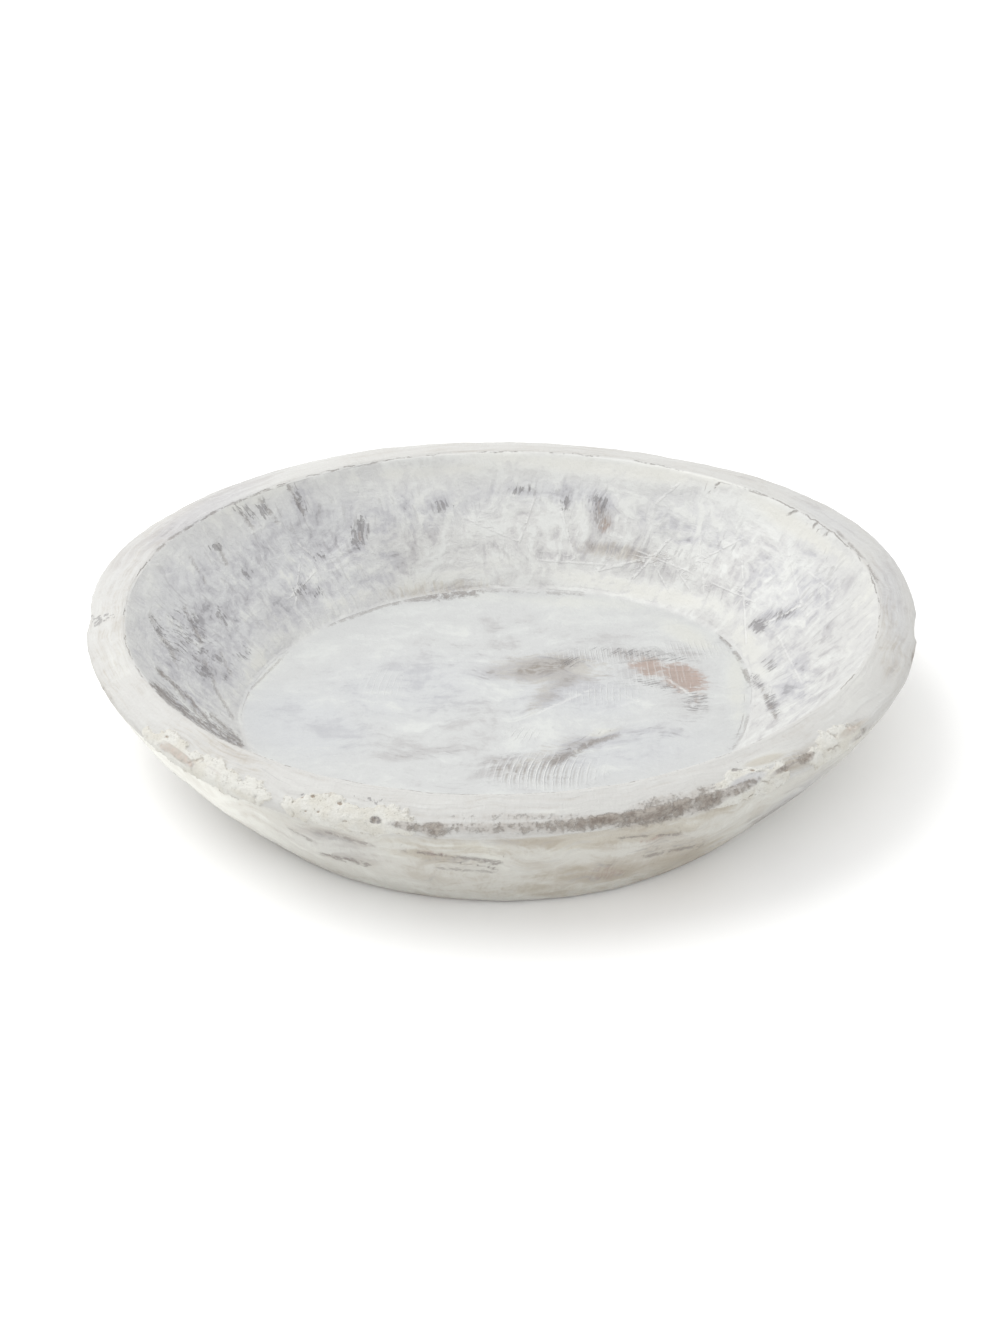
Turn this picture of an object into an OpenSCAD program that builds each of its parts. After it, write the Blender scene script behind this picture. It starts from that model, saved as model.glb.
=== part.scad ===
// Long oval dough bowl, hollowed and shaped by hand from one block of light wood and limewashed.
// The rim's outer edge has crumbled in places. Four of the broken places are made good with
// cream wood filler, bedded in the break as separate pieces, and three are left open as chips.
// +X runs along the length, +Y away from the front, and the origin is the middle of the flat
// underside that the bowl stands on.

/* [Overall] */
// Length over the rim
bowl_length = 400; // [320:1:520]
// Width over the rim
bowl_width = 308; // [250:1:400]
// Height to the highest place of the rim
bowl_height = 70; // [58:1:100]

/* [Rim] */
// Width of the rim's top, seen from above
rim_width = 21.5; // [16:0.5:28]
// Angle at which the rim's top falls away outwards, in degrees
rim_slope = 22; // [5:1:35]
// Rounding of the rim's outer edge
rim_edge_round = 4.5; // [2:0.5:6]
// Rounding of the rim's inner edge
rim_lip_round = 3; // [1.5:0.5:5]
// Crown of the rim's top between its two rounded edges
rim_crown = 0.7; // [0:0.1:2]

/* [Hollow] */
// Run of the inner wall at the two ends, seen from above
hollow_run_ends = 55; // [35:1:75]
// Run of the inner wall along the two sides, seen from above
hollow_run_sides = 45; // [25:1:60]
// Thickness of the floor where it meets the wall
floor_thickness = 13; // [8:0.5:20]
// How far the floor dips towards its middle
floor_dip = 2; // [0:0.25:4]
// Rounding in the crease between wall and floor
floor_cove = 6; // [3:0.5:12]

/* [Outside] */
// Run of the outer wall at the two ends, seen from above
wall_run_ends = 51; // [35:1:70]
// Run of the outer wall along the two sides, seen from above
wall_run_sides = 20; // [12:1:35]
// Rounding at the foot of the outer wall
foot_round = 9; // [5:0.5:14]
// Thickness that is planed off the underside to make it stand flat
foot_planing = 1; // [0.5:0.1:2]

/* [Carving] */
// Number of gouge cuts side by side round the inner wall
gouge_cuts = 36; // [24:12:48]
// Depth of one gouge cut
gouge_depth = 0.7; // [0:0.1:1.2]
// Number of broad adze flats round the outer wall
adze_flats = 24; // [18:6:36]
// Depth of one adze flat
adze_depth = 0.6; // [0:0.1:1.2]

/* [Breaks in the rim] */
// Depth of the deepest break in the rim's outer edge
break_depth = 5; // [2:0.5:6]
// How far the filler stands proud of the old surface
filler_rise = 0.7; // [0.2:0.1:1]

/* [Hidden] */
limewash = [0.88, 0.875, 0.86];
filler_cream = [0.93, 0.91, 0.84];

// Number of steps round the outline
steps = 144;
// How boxy the hand-cut oval is: 2 would be a true ellipse
oval_power = 2.1;
half_length = bowl_length / 2;
half_width = bowl_width / 2;

// Each outline strays from the oval by slow waves: [waves round the bowl, share of the radius,
// angle of a crest in degrees]. One wave stands for an outline that sits off centre.
foot_wave_shares = [[1, 0.010, -100], [2, 0.006, 20], [3, 0.012, 30]];
edge_wave_shares = [[2, 0.008, 25], [3, 0.0155, 25], [4, 0.0055, -7], [5, 0.005, 32]];
lip_wave_shares = [[1, 0.012, -101], [2, 0.015, 41], [3, 0.0105, 23], [4, 0.0105, -2]];
floor_wave_shares = [[1, 0.0135, -23], [2, 0.019, 46], [3, 0.027, 68], [4, 0.016, 27]];
outline_shares = [foot_wave_shares, edge_wave_shares, lip_wave_shares, floor_wave_shares];
foot_outline = 0;
edge_outline = 1;
lip_outline = 2;
floor_outline = 3;
// The rim also rises and falls a little as it goes round, as a share of the height
rise_wave_shares = [[2, 0.006, 70], [3, 0.004, 10], [5, 0.002, 100]];

// Breaks in the rim's outer edge, going round the outline: [angle where it starts, angle where
// it ends, share of the full break depth, share of the rim's top that it reaches over]. The
// angles are whole steps, so that two fillers may meet but share no wood
filled_break_shares = [
    [-147.5, -120, 0.85, 0.8], [-120, -100, 0.7, 0.85], [-62.5, -47.5, 0.75, 0.85], [-45, -32.5, 0.55, 0.8]];
open_chip_shares = [[172.5, 182.5, 0.4, 0.5], [-80, -65, 0.4, 0.5], [-5, 2.5, 0.3, 0.5]];
// How much a break's edge on the rim's top wavers, and how often
break_waver_share = 0.15;
break_waver_angle = 9;

// Shares of a wall's run by which it swells beyond the straight line between its two edges
wall_swell_share = 0.5;
hollow_swell_share = 0.22;

// Angles, in the upright plane of a section, of the outward normal along each rounded edge
foot_angles = [-90, -52, -30];
edge_angles = [-28, -4, 20, 42, 90 - rim_slope];
lip_angles = [90 - rim_slope, 90, 115, 140];
cove_angles = [-42, -66, -90];

function wave(t, rows) = 1 + sum([for (r = rows) r[1] * cos(r[0] * (t - r[2]))]);
function sum(v, i = 0) = i < len(v) ? v[i] + sum(v, i + 1) : 0;
function mix(a, b, share) = a * (1 - share) + b * share;
function oval(t) = pow(pow(abs(cos(t)), oval_power) + pow(abs(sin(t)), oval_power), -1 / oval_power);
// A place along the outlines may lie between two of them
function radius(t, outline) =
    let (low = min(floor(outline), floor_outline - 1))
    oval(t) * mix(wave(t, outline_shares[low]), wave(t, outline_shares[low + 1]), outline - low);
// Height of a half wave between 0 and 1
function hump(share) = sin(180 * min(max(share, 0), 1));

// A station of the section: [half length, half width, height, outline that it follows]
function station(inset_l, inset_w, height, outline) =
    [half_length - inset_l, half_width - inset_w, height, outline];
function rounded(centre, r, angles) =
    [for (a = angles) centre + r * [cos(a), cos(a), sin(a), 0]];
// Stations between two others, with the run swollen outwards and a hump of height h. They lie
// closer together towards b where crowding is over 1
function between(a, b, count, swell, h = 0, crowding = 1) =
    [for (i = [1 : count])
        let (s = 1 - pow(1 - i / (count + 1), crowding), q = s + swell * s * (1 - s))
        [mix(a[0], b[0], q), mix(a[1], b[1], q), mix(a[2], b[2], s) + h * hump(s), mix(a[3], b[3], s)]];

lip_centre = station(rim_width - rim_lip_round, rim_width - rim_lip_round,
    bowl_height - rim_lip_round, lip_outline);
// The rim's top is the straight line that touches both rounded edges
rim_run = rim_width - rim_edge_round - rim_lip_round + (rim_edge_round - rim_lip_round) * sin(rim_slope);
edge_height = bowl_height - rim_lip_round + (rim_lip_round - rim_edge_round) * cos(rim_slope)
    - rim_run * tan(rim_slope);
edge_centre = station(rim_edge_round, rim_edge_round, edge_height, edge_outline);
foot_centre = station(wall_run_ends, wall_run_sides, foot_round - foot_planing, foot_outline)
    - foot_round * [1, 1, 0, 0];
floor_edge_ends = rim_width + hollow_run_ends;
floor_edge_sides = rim_width + hollow_run_sides;
cove_centre = station(floor_edge_ends, floor_edge_sides, floor_thickness + floor_cove, floor_outline);

foot = rounded(foot_centre, foot_round, foot_angles);
edge = rounded(edge_centre, rim_edge_round, edge_angles);
lip = rounded(lip_centre, rim_lip_round, lip_angles);
// The hollow's crease is rounded the other way, so its arc lies below its centre
cove = rounded(cove_centre, floor_cove, cove_angles);
floor_middle = [0, 0, floor_thickness - floor_dip, floor_outline];
wall_steps = 5;
top_steps = 4;
hollow_steps = 6;
floor_steps = 3;
section = concat(
    foot,
    between(foot[2], edge[0], wall_steps, wall_swell_share, crowding = 1.6),
    edge,
    between(edge[4], lip[0], top_steps, 0, rim_crown),
    lip,
    between(lip[3], cove[0], hollow_steps, -hollow_swell_share),
    cove,
    [for (i = [1 : floor_steps])
        let (s = i / (floor_steps + 1))
        [mix(cove[2][0], 0, s), mix(cove[2][1], 0, s),
            cove[2][2] - floor_dip * (1 - (1 - s) * (1 - s)), floor_outline]]
);
// Numbers of the stations where each part of the section starts
wall_start = len(foot);
edge_start = wall_start + wall_steps;
top_start = edge_start + len(edge);
lip_start = top_start + top_steps;
hollow_start = lip_start + len(lip);
cove_start = hollow_start + hollow_steps;

// The breaks start at the last station of the outer wall and end before the rim's inner edge
break_first = edge_start - 1;
break_last = lip_start;
step_angle = 360 / steps;

// Depth of the tool marks at a place, along the section's level direction
function gouging(i, j) =
    let (share = (j - hollow_start) / (cove_start - hollow_start),
        row = share < 0.5 ? 0 : 0.5)
    j <= hollow_start || j >= cove_start ? 0
        : gouge_depth * pow(hump(share), 0.5) * abs(sin(180 * (i / steps * gouge_cuts + row)));
function adzing(i, j) =
    let (share = (j - wall_start) / (edge_start - wall_start))
    j <= wall_start || j >= edge_start ? 0
        : adze_depth * hump(share) * abs(sin(180 * i / steps * adze_flats));

// Share of a break's full depth at a place, which is nothing outside the break
function break_share(t, j, row) =
    let (turn = (t - row[0] + 720) % 360, along = turn / (row[1] - row[0]),
        waver = 1 - break_waver_share * (1 + sin(turn / break_waver_angle * 360)) / 2,
        across = (j - break_first) / (row[3] * waver * (break_last - break_first)))
    along <= 0 || along >= 1 || across <= 0 || across >= 1 ? 0
        : row[2] * pow(hump(along), 0.5) * pow(hump(across), 0.8);
function break_shares(t, j, rows) = sum([for (row = rows) break_share(t, j, row)]);

// The finished surface before the breaks, at step i round the outline and station j
highest_rise = max([for (i = [0 : steps - 1]) wave(i * step_angle, rise_wave_shares)]);
function unbroken(i, j) =
    let (t = i * step_angle, s = section[j],
        r = radius(t, s[3]),
        cut = gouging(i, j) - adzing(i, j),
        rise = 1 + (wave(t, rise_wave_shares) - highest_rise) * pow(s[2] / bowl_height, 2))
    [(s[0] + cut) * r * cos(t), (s[1] + cut) * r * sin(t), s[2] * rise];

// The outline at the rim's outer edge, measured so that the bowl can be set on its own middle
edge_row = [for (i = [0 : steps - 1]) unbroken(i, edge_start + 1)];
low_corner = [min([for (p = edge_row) p.x]), min([for (p = edge_row) p.y]), 0];
high_corner = [max([for (p = edge_row) p.x]), max([for (p = edge_row) p.y]), 0];
middle = (low_corner + high_corner) / 2;
stretch = [bowl_length / (high_corner.x - low_corner.x), bowl_width / (high_corner.y - low_corner.y), 1];
function seated(p) = [for (k = [0 : 2]) (p[k] - middle[k]) * stretch[k]];

// A break goes inwards and down from the rim's outer edge
function into_rim(t, depth) = -depth * cos(rim_slope) * [cos(t), sin(t), 0] - [0, 0, depth * sin(rim_slope)];
function bed(i, j) =
    let (t = i * step_angle)
    seated(unbroken(i, j)) + into_rim(t, break_depth * break_shares(t, j, filled_break_shares)
        + break_depth * break_shares(t, j, open_chip_shares));
// The filler is lumpy, between half and all of its full rise
function lump(i, j) = 0.75 + 0.25 * sin(137 * i + 211 * j);
function filler_top(i, j, row) =
    let (t = i * step_angle)
    seated(unbroken(i, j)) - into_rim(t, filler_rise * lump(i, j) * break_share(t, j, row) / row[2]);

// Two triangles between two neighbouring stations and two neighbouring steps
function pair(a, b, c, d) = [[a, b, c], [a, c, d]];

// The wooden bowl as carved, before its underside is planed
module bowl_blank() {
    last = len(section) - 1;
    rings = [for (j = [0 : last], i = [0 : steps - 1]) bed(i, j)];
    underside = len(rings);
    inside = underside + 1;
    points = concat(rings, [[0, 0, -foot_planing], seated(floor_middle)]);
    skin = [for (j = [0 : last - 1], i = [0 : steps - 1])
        let (n = (i + 1) % steps)
        each pair(j * steps + i, (j + 1) * steps + i, (j + 1) * steps + n, j * steps + n)];
    closed_below = [for (i = [0 : steps - 1]) [i, (i + 1) % steps, underside]];
    closed_above = [for (i = [0 : steps - 1])
        [last * steps + (i + 1) % steps, last * steps + i, inside]];
    polyhedron(points, concat(skin, closed_below, closed_above), convexity = 4);
}

// Bowl carved from one block, planed flat underneath
module bowl_body() {
    color(limewash)
    difference() {
        bowl_blank();
        translate([-bowl_length, -bowl_width, -bowl_height])
            cube([2 * bowl_length, 2 * bowl_width, bowl_height]);
    }
}

// Filler bedded in one break: its underside is the broken wood, its top is lumpy, and the two
// meet in a feather edge all round
module rim_filler(row) {
    first = floor(row[0] / step_angle);
    last = ceil(row[1] / step_angle);
    across = break_last - break_first;
    along = last - first;
    count = (across + 1) * (along + 1);
    function in_break(u, v) = break_share((first + u) * step_angle, break_first + v, row) > 0;
    function top(u, v) = u * (across + 1) + v;
    // Outside the break the filler has no thickness, so there its two faces share their points
    function under(u, v) = in_break(u, v) ? count + top(u, v) : top(u, v);
    points = concat(
        [for (u = [0 : along], v = [0 : across]) filler_top(first + u, break_first + v, row)],
        [for (u = [0 : along], v = [0 : across]) bed(first + u, break_first + v)]
    );
    cells = [for (u = [0 : along - 1], v = [0 : across - 1])
        each pair([u, v], [u, v + 1], [u + 1, v + 1], [u + 1, v])];
    filled = [for (c = cells)
        if (in_break(c[0][0], c[0][1]) || in_break(c[1][0], c[1][1]) || in_break(c[2][0], c[2][1])) c];
    tops = [for (c = filled) [for (p = c) top(p[0], p[1])]];
    unders = [for (c = filled) [for (k = [2, 1, 0]) under(c[k][0], c[k][1])]];
    color(filler_cream) polyhedron(points, concat(tops, unders), convexity = 3);
}

module rim_filler_left() { rim_filler(filled_break_shares[0]); }
module rim_filler_front() { rim_filler(filled_break_shares[1]); }
module rim_filler_right() { rim_filler(filled_break_shares[2]); }
module rim_filler_corner() { rim_filler(filled_break_shares[3]); }

bowl_body();
rim_filler_left();
rim_filler_front();
rim_filler_right();
rim_filler_corner();
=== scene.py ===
from math import cos, pi, radians, sin, tan

import bpy
import numpy as np
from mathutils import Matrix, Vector


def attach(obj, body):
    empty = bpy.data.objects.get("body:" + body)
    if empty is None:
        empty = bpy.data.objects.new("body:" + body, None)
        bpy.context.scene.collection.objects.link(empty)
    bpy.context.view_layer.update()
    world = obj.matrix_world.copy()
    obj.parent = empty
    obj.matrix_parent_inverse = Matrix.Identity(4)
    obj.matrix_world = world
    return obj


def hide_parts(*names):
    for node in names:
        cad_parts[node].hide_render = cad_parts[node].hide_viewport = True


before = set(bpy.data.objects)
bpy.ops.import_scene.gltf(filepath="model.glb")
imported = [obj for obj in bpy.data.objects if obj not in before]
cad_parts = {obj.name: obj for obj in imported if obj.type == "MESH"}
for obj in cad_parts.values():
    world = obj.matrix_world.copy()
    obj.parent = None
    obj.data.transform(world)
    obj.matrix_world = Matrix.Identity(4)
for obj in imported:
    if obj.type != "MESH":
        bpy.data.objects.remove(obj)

scene = bpy.context.scene
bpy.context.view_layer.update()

# Studio: a white table in a white room, with one very large soft light above and to the left, so
# that the shadow falls faintly to the right. The camera stands in front, looking down by 38
# degrees through a long lens.
camera_aim = Vector((-0.0007, 0.00755, 0.030))
camera_elevation = radians(38)
camera_distance = 1.6197
lens_length, film_width = 90, 36
photo_width, photo_height = 1000, 1331
lens_pixels = photo_height * lens_length / film_width
to_right = np.array([1, 0, 0])
upward = np.array([0, sin(camera_elevation), cos(camera_elevation)])
forward = np.array([0, cos(camera_elevation), -sin(camera_elevation)])

camera = bpy.data.objects.new("camera", bpy.data.cameras.new("camera"))
camera.data.lens = lens_length
camera.data.sensor_width = film_width
camera.location = camera_aim - camera_distance * Vector(forward)
camera.rotation_euler = (pi / 2 - camera_elevation, 0, 0)
scene.collection.objects.link(camera)
scene.camera = camera
eye = np.array(camera.location)


def photo_place(spots):
    """Where points in the bowl's frame, one to a row, fall in the photograph, in its pixels."""
    away = spots - eye
    scale = lens_pixels / (away @ forward)
    return photo_width / 2 + away @ to_right * scale, photo_height / 2 - away @ upward * scale


def on_level(across, down, height):
    """Where a pixel of the photograph meets the level plane at a height in the bowl's frame."""
    off_middle = to_right * (across - photo_width / 2) + upward * (photo_height / 2 - down)
    sight = forward + off_middle / lens_pixels
    return eye + sight * ((height - eye[2]) / sight[2])


def new_material(name):
    """A material, and the sockets of its shader."""
    material = bpy.data.materials.new(name)
    material.use_nodes = True
    return material, material.node_tree.nodes["Principled BSDF"].inputs


light_aim = Vector((0, 0, 0.03))
key_light = bpy.data.objects.new("key_light", bpy.data.lights.new("key_light", "AREA"))
key_light.data.shape = "DISK"
key_light.data.size = 1.8
key_light.data.energy = 20
key_light.location = (-0.9, 0.45, 1.5)
key_light.rotation_euler = (light_aim - key_light.location).to_track_quat("-Z", "Y").to_euler()
scene.collection.objects.link(key_light)
room = bpy.data.worlds.new("white_room")
room.use_nodes = True
backdrop = room.node_tree.nodes["Background"].inputs
backdrop["Color"].default_value = (1, 1, 1, 1)
backdrop["Strength"].default_value = 1.12
scene.world = room
scene.view_settings.view_transform = "Standard"

bpy.ops.mesh.primitive_plane_add(size=8)
table = bpy.context.object
table.name = "table"
table_white, table_finish = new_material("table_white")
table_finish["Base Color"].default_value = (0.93, 0.93, 0.925, 1)
table_finish["Roughness"].default_value = 0.8
table.data.materials.append(table_white)

# Bowl body: one block of pale wood, hollowed with gouge and adze, planed flat underneath. The
# rim's top falls away outwards. It was brushed with limewash, which has since been rubbed
# through on the ribs and along the rim's broken outer edge. The crease round the floor is
# darkened with painted shade, and so are the grooves between the ribs.
mm = 0.001
bowl_length, bowl_width, bowl_height = 400 * mm, 308 * mm, 70 * mm
rim_width, rim_crown = 21.5 * mm, 0.7 * mm
rim_fall = 22
rim_slope = radians(rim_fall)
rim_edge_round, rim_lip_round = 4.5 * mm, 3 * mm
hollow_run_ends, hollow_run_sides = 55 * mm, 45 * mm
floor_thickness, floor_dip, floor_cove = 13 * mm, 2 * mm, 6 * mm
wall_run_ends, wall_run_sides = 51 * mm, 20 * mm
foot_round, foot_planing = 9 * mm, 1 * mm
wall_swell, hollow_swell = 0.5, -0.22
oval_power = 2.1
steps_round = 480

# Each outline strays from the oval by slow waves: waves round the bowl, share of the radius, and
# angle of a crest. They are the CAD model's own, as are the sizes above.
foot_waves = [(1, 0.010, -100), (2, 0.006, 20), (3, 0.012, 30)]
edge_waves = [(2, 0.008, 25), (3, 0.0155, 25), (4, 0.0055, -7), (5, 0.005, 32)]
lip_waves = [(1, 0.012, -101), (2, 0.015, 41), (3, 0.0105, 23), (4, 0.0105, -2)]
floor_waves = [(1, 0.0135, -23), (2, 0.019, 46), (3, 0.027, 68), (4, 0.016, 27)]
outlines = [foot_waves, edge_waves, lip_waves, floor_waves]
foot, edge, lip, floor = range(4)
rise_waves = [(2, 0.006, 70), (3, 0.004, 10), (5, 0.002, 100)]

# The section is a row of stations: half length, half width, height, the outline it follows, and its
# place, which counts from 0 at the foot. These are the places where its parts meet.
foot_end, edge_start, edge_end, lip_start, lip_end = 2, 8, 12, 17, 20
crease_start, crease_end, floor_middle, underside = 27, 29, 33, -1
section = []


def stop(half_length, half_width, height, outline, place):
    section.append((half_length, half_width, height, outline, place))


def on_bend(centre, radius, turn):
    """The point of a rounded edge where its normal has turned so far up from level."""
    out = radius * cos(radians(turn))
    return centre[0] + out, centre[1] + out, centre[2] + radius * sin(radians(turn)), centre[3]


def bend(centre, radius, turns, places, count):
    """Stations round one rounded edge, whose normal turns from the first angle to the last."""
    for place in np.linspace(places[0], places[-1], count):
        stop(*on_bend(centre, radius, np.interp(place, places, turns)), place)


def run(to, end_place, count, swell, crown=0, crowding=1):
    """Stations from the last one towards another, swollen outwards, with a crown in the middle."""
    start, start_place = section[-1], section[-1][4]
    for share in np.linspace(0, 1, count + 2)[1:-1]:
        s = 1 - (1 - share) ** crowding
        q = s + swell * s * (1 - s)
        stop(start[0] + (to[0] - start[0]) * q, start[1] + (to[1] - start[1]) * q,
             start[2] + (to[2] - start[2]) * s + crown * sin(pi * s),
             start[3] + (to[3] - start[3]) * s, start_place + (end_place - start_place) * share)


half_length, half_width = bowl_length / 2, bowl_width / 2
lip_height = bowl_height - rim_lip_round
round_step = rim_edge_round - rim_lip_round
top_run = rim_width - rim_edge_round - rim_lip_round + round_step * sin(rim_slope)
edge_height = lip_height - round_step * cos(rim_slope) - top_run * tan(rim_slope)
top_turn = 90 - rim_fall
foot_centre = (half_length - wall_run_ends - foot_round, half_width - wall_run_sides - foot_round,
               foot_round - foot_planing, foot)
edge_centre = (half_length - rim_edge_round, half_width - rim_edge_round, edge_height, edge)
lip_centre = (half_length - rim_width + rim_lip_round, half_width - rim_width + rim_lip_round,
              lip_height, lip)
cove_centre = (half_length - rim_width - hollow_run_ends, half_width - rim_width - hollow_run_sides,
                floor_thickness + floor_cove, floor)
ground_turn = -float(np.degrees(np.arcsin(foot_centre[2] / foot_round)))
ground_edge = on_bend(foot_centre, foot_round, ground_turn)
for share in (0, 0.25, 0.5, 0.7, 0.87, 0.96):
    stop(ground_edge[0] * share, ground_edge[1] * share, 0, foot, underside)
bend(foot_centre, foot_round, (ground_turn, -52, -30), (0, 1, foot_end), 8)
run(on_bend(edge_centre, rim_edge_round, -28), edge_start, 40, wall_swell, crowding=1.25)
bend(edge_centre, rim_edge_round, (-28, -4, 20, 42, top_turn), range(edge_start, edge_end + 1), 20)
run(on_bend(lip_centre, rim_lip_round, top_turn), lip_start, 22, 0, crown=rim_crown)
bend(lip_centre, rim_lip_round, (top_turn, 90, 115, 140), range(lip_start, lip_end + 1), 12)
run(on_bend(cove_centre, floor_cove, -42), crease_start, 44, hollow_swell)
bend(cove_centre, floor_cove, (-42, -66, -90), range(crease_start, crease_end + 1), 10)
cove_edge = section[-1]
for share in np.linspace(0, 1, 35)[1:]:
    stop(cove_edge[0] * (1 - share), cove_edge[1] * (1 - share),
         cove_edge[2] - floor_dip * (1 - (1 - share) ** 2), floor,
         crease_end + (floor_middle - crease_end) * share)


def wave(turn, rows):
    return 1 + sum(size * np.cos(np.radians(waves * (turn - crest))) for waves, size, crest in rows)


# The waves shift and widen the rim a little, so the bowl is set back on its own middle, which is
# measured on the CAD model's own steps.
cad_steps = 144
turns = np.linspace(0, 360, cad_steps, endpoint=False)
highest_rise = wave(turns, rise_waves).max()
turns_x, turns_y = np.cos(np.radians(turns)), np.sin(np.radians(turns))
edge_oval = (abs(turns_x) ** oval_power + abs(turns_y) ** oval_power) ** (-1 / oval_power)
edge_reach = edge_oval * wave(turns, edge_waves)
widest_turn = radians(-4)
short_of_round = rim_edge_round * (1 - cos(widest_turn))
edge_x = (half_length - short_of_round) * edge_reach * turns_x
edge_y = (half_width - short_of_round) * edge_reach * turns_y
middle = ((edge_x.min() + edge_x.max()) / 2, (edge_y.min() + edge_y.max()) / 2, 0)
stretch = (bowl_length / np.ptp(edge_x), bowl_width / np.ptp(edge_y), 1)


def operator(operation, turned=False):
    """An operator that writes a node, with its two sides turned round if it is a reflected one."""
    if turned:
        return lambda wire, other: wire.sum(operation, other, wire)
    return lambda wire, other: wire.sum(operation, wire, other)


class Wire:
    """An output of a node. A sum written with it becomes Math or Vector Math nodes."""

    def __init__(self, tree, node, socket):
        self.tree, self.node, self.socket = tree, node, socket

    def out(self, name):
        return Wire(self.tree, self.node, self.node.outputs[name])

    def sum(self, operation, *terms):
        return self.tree.sum(operation, *terms)

    __add__ = __radd__ = operator("ADD")
    __mul__ = __rmul__ = operator("MULTIPLY")
    __sub__, __rsub__ = operator("SUBTRACT"), operator("SUBTRACT", turned=True)
    __truediv__, __rtruediv__ = operator("DIVIDE"), operator("DIVIDE", turned=True)
    __pow__, least, most = operator("POWER"), operator("MINIMUM"), operator("MAXIMUM")

    def __abs__(self):
        return self.sum("ABSOLUTE", self)

    def held(self):
        """The value kept between 0 and 1."""
        return self.most(0).least(1)

    def ease(self, low, high):
        """0 at low and 1 at high, with an eased slope between them."""
        return self.tree.node("ShaderNodeMapRange", {"interpolation_type": "SMOOTHSTEP"},
                              {0: self, 1: low, 2: high})


class Tree:
    """A node tree under construction."""

    def __init__(self, nodes):
        self.nodes = nodes

    def node(self, kind, settings={}, values={}, out=0):
        """Adds a node: its settings first, then the values or links of its sockets."""
        made = self.nodes.nodes.new(kind)
        for name, setting in settings.items():
            setattr(made, name, setting)
        for name, value in values.items():
            if isinstance(value, Wire):
                self.nodes.links.new(value.socket, made.inputs[name])
            else:
                made.inputs[name].default_value = value
        return Wire(self, made, made.outputs[out] if made.outputs else None)

    def sum(self, operation, *terms):
        """A Math node, or a Vector Math node where one of the terms is a vector."""
        vector = [t for t in terms if isinstance(t, Wire) and t.socket.type in ("VECTOR", "RGBA")]
        plain = [t for t in terms if t not in vector and not isinstance(t, (tuple, Vector))]
        if vector and plain and operation == "MULTIPLY":
            return self.node("ShaderNodeVectorMath", {"operation": "SCALE"},
                             {0: vector[0], 3: plain[0]})
        kind = "ShaderNodeVectorMath" if vector else "ShaderNodeMath"
        return self.node(kind, {"operation": operation}, dict(enumerate(terms)))

    def noise(self, at, size, detail=2, roughness=0.5):
        """Noise between 0 and 1 whose lumps are about size across."""
        return self.node("ShaderNodeTexNoise", {}, {
            "Vector": at, "Scale": 1 / size, "Detail": detail, "Roughness": roughness})

    def drift(self, at, size, detail, reach):
        """A place shifted to and fro by slow noise, as an unsteady hand would."""
        return (self.noise(at, size, detail).out("Color") - (0.5, 0.5, 0.5)) * reach

    def mix(self, under, over, share):
        """One colour painted over another."""
        under, over = (c if isinstance(c, Wire) else (*c, 1) for c in (under, over))
        return self.node("ShaderNodeMix", {"data_type": "RGBA"}, {0: share, 6: under, 7: over}, 2)

    def painted(self, colour, *layers):
        """A colour with others painted over it, each with its share."""
        for over, share in layers:
            colour = self.mix(colour, over, share)
        return colour

    def tinted(self, colour, tint, share):
        """A colour multiplied by a tint."""
        return self.mix(colour, self.sum("MULTIPLY", colour, tint), share)

    def vector(self, x, y, z):
        return self.node("ShaderNodeCombineXYZ", {}, {0: x, 1: y, 2: z})

    def kept(self, name, out="Fac"):
        """What the mesh keeps under a name, for a material."""
        return self.node("ShaderNodeAttribute", {"attribute_name": name}, {}, out)

    def stored(self, name):
        """What the mesh keeps under a name, for Geometry Nodes."""
        return self.node("GeometryNodeInputNamedAttribute", {"data_type": "FLOAT"}, {"Name": name})

    def store(self, geometry, values, kind="FLOAT"):
        """Keeps values on a geometry under their names."""
        for name, value in values.items():
            geometry = self.node("GeometryNodeStoreNamedAttribute", {"data_type": kind}, {
                "Geometry": geometry, "Name": name, "Value": value})
        return geometry

    def moved(self, geometry, **how):
        return self.node("GeometryNodeSetPosition", {}, {"Geometry": geometry, **how})


def new_tree(name, sizes):
    """A Geometry Nodes tree whose inputs are a geometry, a material and the named sizes."""
    group = bpy.data.node_groups.new(name, "GeometryNodeTree")
    kinds = {"Geometry": "Geometry", "Material": "Material"}
    kinds.update({size: "Int" if isinstance(sizes[size], int) else "Float" for size in sizes})
    for socket, kind in kinds.items():
        group.interface.new_socket(socket, in_out="INPUT", socket_type="NodeSocket" + kind)
    group.interface.new_socket("Geometry", in_out="OUTPUT", socket_type="NodeSocketGeometry")
    tree = Tree(group)
    return tree, tree.node("NodeGroupInput")


def end_tree(tree, given, geometry):
    """Ends a tree in real geometry with its material, as the export needs."""
    real = tree.node("GeometryNodeRealizeInstances", {}, {0: geometry})
    coated = tree.node("GeometryNodeSetMaterial", {}, {
        "Geometry": real, "Material": given.out("Material")})
    tree.node("NodeGroupOutput", {}, {0: coated})


def made_by(tree, sizes, base_mesh, material, name):
    """Runs a tree on a mesh and returns the plain mesh object that comes out."""
    blank = bpy.data.objects.new(name + "_blank", base_mesh)
    scene.collection.objects.link(blank)
    modifier = blank.modifiers.new("maker", "NODES")
    modifier.node_group = tree.nodes
    given = {**sizes, "Material": material}
    for item in tree.nodes.interface.items_tree:
        if item.name in given:
            modifier[item.identifier] = given[item.name]
    bpy.context.view_layer.update()
    graph = bpy.context.evaluated_depsgraph_get()
    mesh = bpy.data.meshes.new_from_object(
        blank.evaluated_get(graph), preserve_all_data_layers=True, depsgraph=graph)
    blank.modifiers.remove(modifier)
    bpy.data.objects.remove(blank)
    mesh.name = name
    piece = bpy.data.objects.new(name, mesh)
    scene.collection.objects.link(piece)
    return piece


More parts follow.
